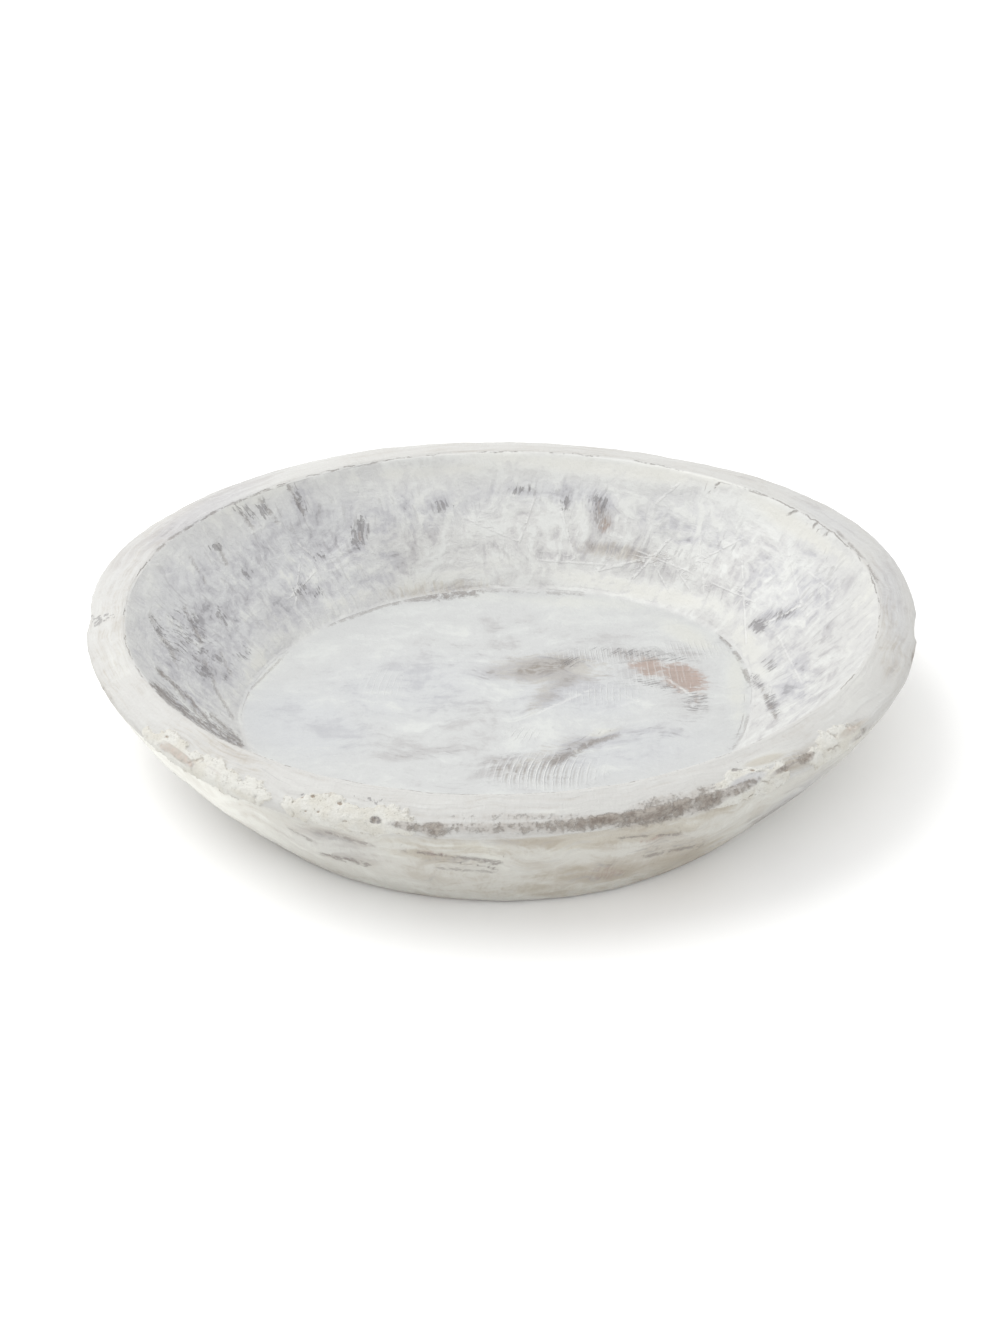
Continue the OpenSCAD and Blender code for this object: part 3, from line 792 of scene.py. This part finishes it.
# Limewash: the thicker the coat, the whiter it looks. Where it is rubbed thin, the grey of old
# wood shows through, lilac in the hollow and brown elsewhere, and where it is gone, bare wood.
def limewashed(lime):
    """The brushed, worn coat of limewash, with painted light and shade: its colour, its relief and its
    roughness.
    """
    at = lime.node("ShaderNodeTexCoord", {}, {}, "Object")
    ring, around = lime.kept("ring", "Vector"), lime.kept("place")
    on_floor = around.ease(27.2, 29.2)
    on_hollow = around.ease(18.6, 20.4) * (1 - on_floor)
    on_outside = 1 - around.ease(7.0, 9.6)
    on_rim = (1 - on_outside - on_hollow - on_floor).held()
    on_underside = 1 - around.ease(0.2, 1.5)

    # The brush was swung about freely, so its strokes curve: slow noise first warps the place.
    swing = lime.drift(at, 34 * mm, 1, 34 * mm)
    flick = lime.drift(at + (0.2, 0.4, 0.1), 9 * mm, 1, 7 * mm)
    swept_at = at + swing * 0.7 + flick * 0.6
    down_wall = ring + lime.vector(0, 0, around * 4.5 * mm) + swing * 0.5 + flick * 0.45
    crossed = lime.node("ShaderNodeVectorRotate", {"rotation_type": "Z_AXIS"}, {
        "Vector": at + flick, "Angle": 0.9})
    fine = lime.noise(at, 2.0 * mm, 4, 0.6) - 0.5
    dabs = lime.noise(at + flick, 5 * mm, 3, 0.6) - 0.5
    blotches = lime.noise(swept_at, 22 * mm, 3, 0.55)

    def strokes(place, size, stretched):
        """Noise drawn out along the brush."""
        return lime.noise(lime.sum("MULTIPLY", place, stretched), size, 3, 0.55)

    brushed_round = strokes(down_wall, 8 * mm, (0.3, 0.3, 2.4))
    brushed_down = strokes(down_wall, 10 * mm, (1.5, 1.5, 0.65))
    brushed_floor = strokes(swept_at, 12 * mm, (0.38, 1.3, 1.0))
    brushed_across = strokes(crossed, 9 * mm, (0.4, 1.6, 0.8))
    bristles = strokes(down_wall, 2.2 * mm, (1.8, 1.8, 0.25))
    bristles_floor = strokes(swept_at, 2.6 * mm, (0.25, 1.8, 1.0))
    dashed_wall = strokes(down_wall + (0.3, 0.1, 0.2), 4.6 * mm, (1.5, 1.5, 0.75))
    dashed_round = strokes(down_wall + (0.1, 0.5, 0.4), 3.4 * mm, (0.24, 0.24, 2.2))
    dashed = (dashed_wall * on_hollow + dashed_round * (on_outside + on_rim)
              + bristles_floor * on_floor)
    turning = lime.noise(at + (0.7, 0.1, 0.3), 26 * mm, 1)
    downward, crosswise = turning.ease(0.42, 0.5), turning.ease(0.54, 0.6)
    on_wall = (brushed_round * (1 - downward) + brushed_down * (downward - crosswise)
               + brushed_across * crosswise)
    brushed = (brushed_round * (on_outside + on_rim) + brushed_floor * on_floor
               + on_wall * on_hollow)
    bristly = bristles_floor * on_floor + bristles * (1 - on_floor)

    # Thickness of the coat: thicker in a band under the lip and in one round the floor.
    upper_band = around.ease(18.4, 19.6) * (1 - around.ease(21.0, 23.4))
    lower_band = around.ease(25.4, 26.8) * (1 - around.ease(28.8, 31.2))
    bands = (upper_band + lower_band * 0.7) * (0.5 + blotches)
    bare, smoke_and_shade_here, lilac_here, cream_here, worn, stains_and_shade_here, painted_light_here, specks_here = (
        lime.kept(name) for name in ("bare_wood", "smoke_and_shade", "lilac", "cream", "worn_edge",
                                     "stains_and_shade", "painted_light", "specks"))
    lively = (0.8 + 0.35 * on_hollow - bands * 0.5 - 0.1 * on_floor - 0.4 * on_rim
              - 0.1 * on_outside)
    coat = 0.76 + lively * (
        (brushed - 0.5) * 1.7 + (blotches - 0.5) * 1.0 + dabs * (0.8 + 0.3 * on_hollow)
        + (bristly - 0.5) * (0.5 - 0.4 * on_hollow) + fine * 0.3)
    # Painted light whitens the coat where it is marked; the stain marks thin it, in places as painted
    # shade.
    coat = (coat + bands * 0.14 + painted_light_here * 0.1 + cream_here * 0.25 - lilac_here * 0.2
            - stains_and_shade_here * 0.06)
    # The smoke and shade marks grey the coat: smudges, and painted shade where those marks stand for
    # it.
    coat = coat - smoke_and_shade_here * (0.36 + dabs * 1.4 + (bristly - 0.5) * 1.4)
    ragged = dabs * 1.3 + fine * 0.9 + (bristly - 0.5) * 1.3
    bared = (bare + ragged).ease(0.15, 1.0) * bare.ease(0.0, 0.3)
    teeth = lime.noise(ring, 3.0 * mm, 2) - 0.5
    flecks = lime.noise(at, 2.6 * mm, 5, 0.7) - 0.5
    frayed = (worn + teeth * 1.2 + flecks * 3.2).ease(0.45, 1.1) * worn.ease(0.02, 0.35)
    soiled = (worn * 1.2 + dabs * 1.2 + fine * 0.8).ease(0.1, 1.0) * worn.ease(0.0, 0.25)

    # The wood, and the coat's four thicknesses, each a little bluer or warmer by place.
    grain = lime.noise(lime.sum("MULTIPLY", at, (0.12, 1.6, 1.6)), 2.4 * mm, 4, 0.65)
    wood = lime.painted((0.385, 0.29, 0.255), ((0.295, 0.228, 0.2), grain.ease(0.35, 0.7)),
                        ((0.34, 0.29, 0.255), (smoke_and_shade_here * 0.9).held()),
                        ((0.47, 0.42, 0.375), on_rim * 0.85))
    crumbly = (lime.noise(at, 3.4 * mm, 4, 0.65) * 0.7 + (fine + 0.5) * 0.3
               - (worn - 0.9).held() * 0.1)
    old_wood = lime.mix((0.18, 0.15, 0.128), (0.34, 0.31, 0.275), crumbly.ease(0.36, 0.62))
    thin = lime.mix((0.33, 0.305, 0.28), (0.312, 0.308, 0.32),
                    (lilac_here * 1.3 + on_hollow * 0.6).held())
    middling = lime.mix((0.45, 0.43, 0.40), (0.438, 0.437, 0.449),
                        (lilac_here * 1.2 + on_hollow * 0.7 + on_floor * 0.6).held())
    white = lime.mix((0.525, 0.521, 0.503), (0.515, 0.519, 0.522),
                     (lilac_here + on_floor * 0.5 + on_hollow * 0.3).held())
    thick = lime.mix((0.575, 0.58, 0.565), (0.568, 0.564, 0.53),
                     (cream_here * 1.1 + (blotches - 0.5)).held())
    colour = lime.painted(thin, (middling, coat.ease(0.1, 0.42)), (white, coat.ease(0.42, 0.76)),
                          (thick, coat.ease(0.76, 1.1)))
    # A warm, darker tint where stains lie, and painted shade where the stain marks stand for it on the
    # rim's sides and in the crease.
    stain_and_shade = (stains_and_shade_here * 1.1 + (0.5 - dashed) * 1.8 - dabs * 0.9).ease(0.1, 0.95)
    colour = lime.tinted(colour, (0.86, 0.825, 0.775), stain_and_shade * stains_and_shade_here.ease(0.0, 0.3))
    cream_rim = on_rim * cream_here.ease(0.55, 1.0) * 0.75
    colour = lime.mix(colour, (0.47, 0.44, 0.38), cream_rim)
    # Painted light brightens the marked walls further, and the rim's top is made a little darker all
    # round.
    colour = colour * (1 + painted_light_here * 0.13 - on_rim * 0.065)
    colour = lime.tinted(colour, (0.93, 0.941, 0.946), on_floor)
    colour = lime.tinted(colour, (0.99, 0.98, 0.942), on_outside)
    dash = (smoke_and_shade_here * 1.4 + lilac_here * on_hollow * 0.7 + 0.06).held()
    dash = dashed.ease(0.55, 0.64) * dash * dabs.ease(-0.2, 0.0)
    colour = lime.painted(colour, ((0.28, 0.27, 0.272), dash * 0.5), (wood, bared * 0.95),
                          ((0.37, 0.34, 0.31), soiled * 0.7),
                          (old_wood, frayed * (0.46 + worn * 0.35).held()))

    # Gouge ribs: in each turn of their spacing a ridge, lightened with painted highlight, and a groove,
    # darkened with painted shade.
    rib_wave = lime.sum("FRACT", lime.kept("rib_turns") + dabs * 0.35 + fine * 0.2)
    rib_ridge = rib_wave.ease(0.0, 0.16) * (1 - rib_wave.ease(0.2, 0.45))
    rib_here = lime.kept("rib_strength") * dabs.ease(-0.24, 0.0)
    rib_groove = rib_wave.ease(0.5, 0.68) * (1 - rib_wave.ease(0.74, 0.95))

    # Dark lines, which waver: cracks and streaks, and painted shade along the crease round the floor
    # and under the left filler; and the dark specks of the hollow.
    wobble = fine * 4
    dark_line = 1 - abs(lime.kept("dark_line_offset") + wobble).ease(0.0, 1.8)
    dark_line = lime.kept("dark_line_strength") * dark_line * dabs.ease(-0.14, 0.04)
    lip_crack = 1 - abs(around - 19.0 + dabs * 2.4).ease(0.08, 0.3)
    dark_line = dark_line.most(lip_crack * (blotches + fine * 0.6).ease(0.5, 0.6) * 0.9)
    pale_line = 1 - abs(lime.kept("pale_line_offset") + wobble * 0.6).ease(0.4, 1.4)
    pale_line = lime.kept("pale_line_strength") * pale_line * dabs.ease(-0.2, 0.0)
    speck_noise = strokes(down_wall + (0.2, 0.2, 0.6), 2.6 * mm, (1.3, 1.3, 0.75)) * 0.7
    speckle = (speck_noise + (fine + 0.5) * 0.3 + specks_here * 0.22).ease(0.6, 0.68)
    speckle = speckle * specks_here.ease(0.0, 0.2)
    # Over the coat: painted shade in the ribs' grooves and painted highlight on their ridges, pale
    # scratches, the dark lines, specks, and the underside's wood.
    colour = lime.painted(
        colour, ((0.29, 0.275, 0.26), (rib_groove * rib_here * (smoke_and_shade_here + 0.25) * 0.8).held()),
        ((0.58, 0.58, 0.57), (rib_ridge * rib_here * 0.8).held()),
        ((0.66, 0.66, 0.645), pale_line * 0.75),
        ((0.215, 0.19, 0.175), (dark_line * 0.7).held()),
        ((0.215, 0.205, 0.207), (speckle * 0.65).held()),
        (lime.mix(wood, (0.46, 0.42, 0.38), 0.5), on_underside * 0.85))

    relief = (brushed * (0.7 - 0.25 * on_hollow - 0.25 * on_rim)
              + bristly * (0.25 - 0.15 * on_hollow) + coat.held() * 0.5 + (fine + 0.5) * 0.35
              + grain * 0.1 + rib_ridge * rib_here * 0.9 + pale_line * 0.5
              - dark_line * 0.9 - speckle * 0.5 - frayed * 0.9 - bared * 0.3)
    relief = relief * (1 - on_underside) + grain * 0.5 * on_underside
    gloss = 0.62 + fine * 0.3 + bared * 0.1 - coat.ease(0.7, 1.1) * 0.1
    return colour, relief, gloss


def finished(tree, finish, colour, relief, gloss, depth, shine):
    """Joins a finish to the material's own shader."""
    bump = tree.node("ShaderNodeBump", {}, {
        "Strength": 0.6, "Distance": depth, "Height": relief}, "Normal")
    for socket, wire in (("Base Color", colour), ("Roughness", gloss), ("Normal", bump)):
        tree.nodes.links.new(wire.socket, finish[socket])
    finish["Specular IOR Level"].default_value = shine


lime = Tree(limewash.node_tree)
finished(lime, limewash_finish, *limewashed(lime), 1.1 * mm, 0.35)

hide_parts("bowl_body")
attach(bowl, "root")

# Rim fillers: cream wood filler, pressed by hand into four of the breaks and left rough. It has
# dried crumbly, with cracks and pits, and feathers out on the sound wood round each break.
finer_steps, finer_rows = 5, 3
filler_cream, filler_finish = new_material("wood_filler")
dried = {"Rise": 0.9 * mm, "Lumpiness": 0.5 * mm, "Crumb Size": 0.4 * mm, "Crumbs": 90000.0, "Seed": 3}
dry, sizes = new_tree("dry_filler", dried)
size = sizes.out
here = dry.node("GeometryNodeInputPosition")
filled = dry.stored("filled")
ragged = (dry.noise(here + (0.1, 0.3, 0.2), 5 * mm, 3, 0.6) - 0.5) * 1.1
cover = (filled + ragged).ease(0.3, 0.5) * filled.ease(0.02, 0.12)
lumpy = dry.noise(here, 3.2 * mm, 4, 0.65) - 0.5
crack = dry.node("ShaderNodeTexVoronoi", {"feature": "DISTANCE_TO_EDGE"}, {
    "Vector": here + dry.drift(here, 4 * mm, 2, 5 * mm), "Scale": 1 / (13 * mm)}, "Distance")
cracked = (1 - crack.ease(0.01, 0.045)) * dry.noise(here, 12 * mm, 1).ease(0.52, 0.6)
raised = lumpy * 2 - cracked - dry.stored("pits") * 1.2
raised = cover * (size("Rise") + raised * size("Lumpiness"))
pressed = dry.store(size("Geometry"), {"cover": cover, "cracked": cracked})
pressed = dry.moved(pressed, Offset=dry.node("GeometryNodeInputNormal") * raised)
pressed = dry.node("GeometryNodeSetShadeSmooth", {}, {"Geometry": pressed})
fold = dry.node("GeometryNodeInputMeshEdgeAngle", {}, {}, "Unsigned Angle")
sharp = dry.sum("GREATER_THAN", fold, 1.2)
pressed = dry.node("GeometryNodeSetShadeSmooth", {"domain": "EDGE"}, {
    "Geometry": pressed, "Selection": sharp, "Shade Smooth": False})
scattered = dry.node("GeometryNodeDistributePointsOnFaces", {"distribute_method": "RANDOM"}, {
    "Mesh": pressed, "Density": size("Crumbs") * dry.stored("cover"), "Seed": size("Seed")})
crumb = dry.node("GeometryNodeMeshIcoSphere", {}, {"Radius": size("Crumb Size"), "Subdivisions": 1})


def random_vector(low, high, seed):
    return dry.node("FunctionNodeRandomValue", {"data_type": "FLOAT_VECTOR"}, {
        0: low, 1: high, "Seed": seed})


any_turn = (6.28, 6.28, 6.28)
strewn = dry.node("GeometryNodeInstanceOnPoints", {}, {
    "Points": scattered, "Instance": crumb,
    "Rotation": random_vector((0, 0, 0), any_turn, 12),
    "Scale": random_vector((0.4, 0.4, 0.3), (1.5, 1.2, 0.8), 11)})
joined = dry.node("GeometryNodeJoinGeometry")
for part in (pressed, strewn):
    dry.nodes.links.new(part.socket, joined.node.inputs[0])
end_tree(dry, sizes, joined)

# Pits in the filler, written as the marks are.
pits = {
    "rim": [(302, 797, 2.2, 1.6, 0, 1), (313, 797, 2.4, 1.6, 0, 1), (340, 804, 2.6, 2, 0, 1),
        (168, 737, 2, 1.6, 0, 0.8), (319, 812, 2, 1.4, 0, 0.7), (306, 811, 1.8, 1.2, 0, 0.7),
        (354, 794, 2.4, 1.8, 0, 0.8), (770, 763, 3, 1.6, 0, 0.6), (752, 771, 3, 1.2, 0, 0.8),
        (786, 770, 4, 1.6, -20, 0.9)],
    "edge": [(376, 820, 4, 3, 0, 1), (345, 821, 3, 1.4, 0, 0.7)],
}
# One more row below the breaks lets each patch close on the sound wall. Within a break the
# filler starts a hair above the old surface.
row_below, patch_lift = 0.16, 0.03 * mm
rim_rows = [k for k, s in enumerate(section) if break_first - row_below <= s[4] <= break_last]
rim_places = np.array([section[k][4] for k in rim_rows])
all_turns, all_places = np.meshgrid(
    np.arange(steps_round) * 360 / steps_round, rim_places, indexing="ij")
for name, filled_break in filled_breaks.items():
    start, end, depth, _ = filled_break
    first = int(start % 360 / 360 * steps_round)
    last = int((start % 360 + end - start) / 360 * steps_round) + 1
    steps = np.linspace(first, last, (last - first) * finer_steps + 1)
    rows = np.linspace(0, len(rim_rows) - 1, (len(rim_rows) - 1) * finer_rows + 1)
    step_grid, row_grid = np.meshgrid(steps, rows, indexing="ij")
    low_step = np.floor(step_grid).astype(int)
    low_row = np.minimum(np.floor(row_grid).astype(int), len(rim_rows) - 2)
    ds, dr = step_grid - low_step, row_grid - low_row

    def finer(values):
        """Values on the bowl's own grid, read at this patch's closer steps and rows."""
        a, b = low_step % steps_round, (low_step + 1) % steps_round
        near = values[a, low_row].T * (1 - ds).T + values[b, low_row].T * ds.T
        far = values[a, low_row + 1].T * (1 - ds).T + values[b, low_row + 1].T * ds.T
        return (near * (1 - dr).T + far * dr.T).T

    ground, facing, ring = (finer(grid[:, rim_rows]) for grid in (sound_grid, facing_grid, ring_grid))
    share = finer(break_share(all_turns, all_places, filled_break))
    inside = share > 1e-9
    top = ground + facing * (patch_lift * inside)[..., None]
    under = ground + into_rim(step_grid * 360 / steps_round, break_depth * share)
    count = share.size
    number = np.arange(count).reshape(share.shape)
    below = np.where(inside, number + count, number)
    faces = []
    for i, j in np.ndindex(share.shape[0] - 1, share.shape[1] - 1):
        corners = [(i, j), (i + 1, j), (i + 1, j + 1), (i, j + 1)]
        if any(inside[c] for c in corners):
            faces.append([number[c] for c in corners])
            faces.append([below[c] for c in reversed(corners)])
    used = sorted({k for f in faces for k in f})
    renumber = {k: n for n, k in enumerate(used)}

    def both(*sides):
        """Values for the patch's top and then its underside, or the same for both of them, at
        the points that it uses."""
        sides = [side.reshape(count, *side.shape[2:]) for side in sides]
        return np.concatenate([sides[0], sides[-1]])[used]

    points, place = both(top, under), both(finer(all_places))
    patch = mesh_of(name + "_patch", points, [[renumber[k] for k in f] for f in faces],
                    filled=both(share / depth, 0 * share), place=place)
    seen = Seen(points, both(facing), place)
    mark(patch, seen)
    keep(patch, "pits", seen.marked(pits))
    keep(patch, "ring", both(ring))
    piece = made_by(dry, dried, patch, filler_cream, name + "_dried")
    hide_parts(name)
    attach(piece, "root")

cake = Tree(filler_cream.node_tree)
painted, brushwork, gloss = limewashed(cake)
at = cake.node("ShaderNodeTexCoord", {}, {}, "Object")
crumble = cake.noise(at, 1.6 * mm, 4, 0.65)
tone = cake.noise(at, 9 * mm, 3, 0.5)
cover, pitted = cake.kept("cover"), cake.kept("pits")
pitted = (pitted + (0.5 - crumble) * 1.2).ease(0.35, 0.8) * pitted.ease(0.0, 0.3)
rim_of_cover = cover.ease(0.05, 0.4) * (1 - cover.ease(0.5, 0.9))
# The filler is cream, paler in places. It is darker in the low spots of its crumbly surface and in its
# cracks, which is painted shade. Its pits are dark brown, and a painted shadow runs along the edge of
# its cover.
colour = cake.painted(
    (0.545, 0.53, 0.48), ((0.585, 0.58, 0.545), tone.ease(0.35, 0.6)),
    ((0.36, 0.32, 0.26), ((0.38 - crumble) * 6).held() * 0.5),
    ((0.26, 0.205, 0.16), (pitted * 0.8 + cake.kept("cracked") * 0.3).held()),
    ((0.34, 0.31, 0.27), rim_of_cover * crumble.ease(0.4, 0.6) * 0.45))
showing = (cover.ease(0.1, 0.4) * (1 - cake.kept("worn_edge").ease(0.3, 0.6))
           * (1 - cake.kept("lilac").ease(0.4, 0.8) * 0.8)
           * (1 - cake.kept("bare_wood").ease(0.2, 0.5)))
colour = cake.mix(painted, colour, showing)
rough = crumble * 1.2 + cake.noise(at, 0.7 * mm, 2) * 0.6
relief = brushwork * (1 - showing) + rough * showing
finished(cake, filler_finish, colour, relief, gloss + showing * 0.2, 0.9 * mm, 0.25)
